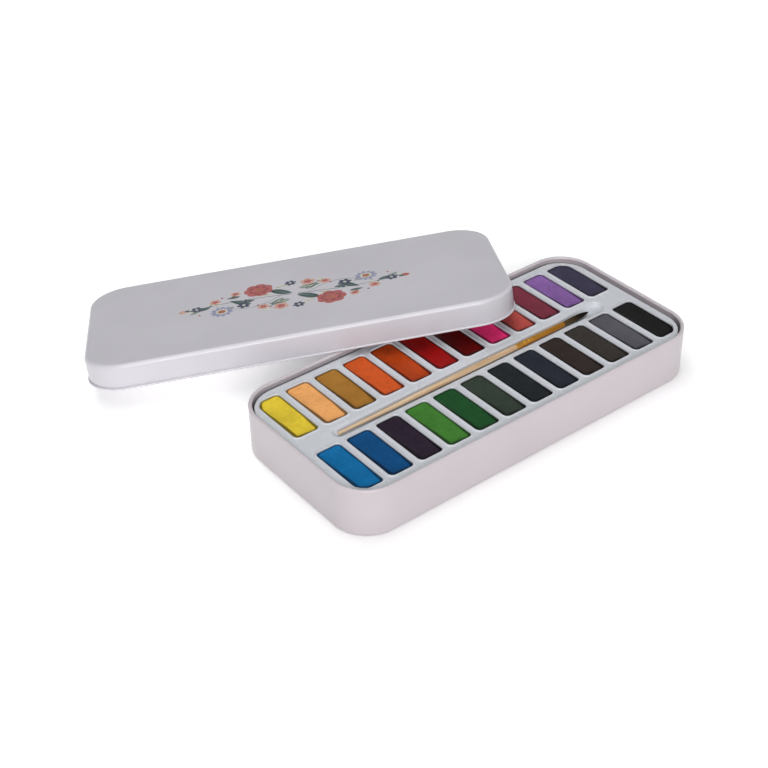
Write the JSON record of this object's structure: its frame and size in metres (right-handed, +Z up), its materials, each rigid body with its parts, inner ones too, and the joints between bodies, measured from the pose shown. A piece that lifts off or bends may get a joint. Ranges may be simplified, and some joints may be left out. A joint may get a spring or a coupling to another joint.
{
  "type": "watercolor pan set",
  "caption": "Pressed metal tin with a lift-off lid, holding a moulded tray of watercolour paint pans and a brush in a groove.",
  "frame": {"origin": "centre of the tin's underside, on the table", "axes": "+X along the tin's long side, towards the brush's hairs; +Y towards the back, where the open lid leans; +Z up"},
  "size_m": [0.272, 0.2549, 0.0496],
  "materials": {
    "tin_enamel": "satin",
    "lid_enamel": "satin",
    "tray_plastic": "gloss",
    "paint_lemon_yellow": "matte",
    "paint_peach": "matte",
    "paint_ochre": "matte",
    "paint_orange": "matte",
    "paint_red_orange": "matte",
    "paint_scarlet": "matte",
    "paint_maroon": "matte",
    "paint_magenta": "matte",
    "paint_coral_red": "matte",
    "paint_crimson": "matte",
    "paint_violet": "matte",
    "paint_indigo": "matte",
    "paint_cerulean": "matte",
    "paint_blue": "matte",
    "paint_plum": "matte",
    "paint_leaf_green": "matte",
    "paint_forest_green": "matte",
    "paint_moss_black": "matte",
    "paint_pine_black": "matte",
    "paint_navy": "matte",
    "paint_sepia": "matte",
    "paint_umber": "matte",
    "paint_grey": "matte",
    "paint_black": "matte",
    "handle_wood": "satin",
    "ferrule_brass": "polished",
    "brush_hair": "matte"
  },
  "bodies": {
    "tin": {"tin_base": "tin_enamel", "paint_tray": "tray_plastic", "paint_lemon_yellow": "paint_lemon_yellow", "paint_peach": "paint_peach", "paint_ochre": "paint_ochre", "paint_orange": "paint_orange", "paint_red_orange": "paint_red_orange", "paint_scarlet": "paint_scarlet", "paint_maroon": "paint_maroon", "paint_magenta": "paint_magenta", "paint_coral_red": "paint_coral_red", "paint_crimson": "paint_crimson", "paint_violet": "paint_violet", "paint_indigo": "paint_indigo", "paint_cerulean": "paint_cerulean", "paint_blue": "paint_blue", "paint_plum": "paint_plum", "paint_leaf_green": "paint_leaf_green", "paint_forest_green": "paint_forest_green", "paint_moss_black": "paint_moss_black", "paint_pine_black": "paint_pine_black", "paint_navy": "paint_navy", "paint_sepia": "paint_sepia", "paint_umber": "paint_umber", "paint_grey": "paint_grey", "paint_black": "paint_black"},
    "brush": {"brush_handle": "handle_wood", "brush_ferrule": "ferrule_brass", "brush_hairs": "brush_hair"},
    "lid": {"lid": "lid_enamel"}
  },
  "joints": [
    {"name": "brush_lift", "type": "slide", "parent": "tin", "child": "brush", "axis": [0, 0, 1], "range_m": [0, 0.06]},
    {"name": "lid_lift", "type": "slide", "parent": "tin", "child": "lid", "axis": [0, 0, 1], "range_m": [0, 0.06]}
  ]
}
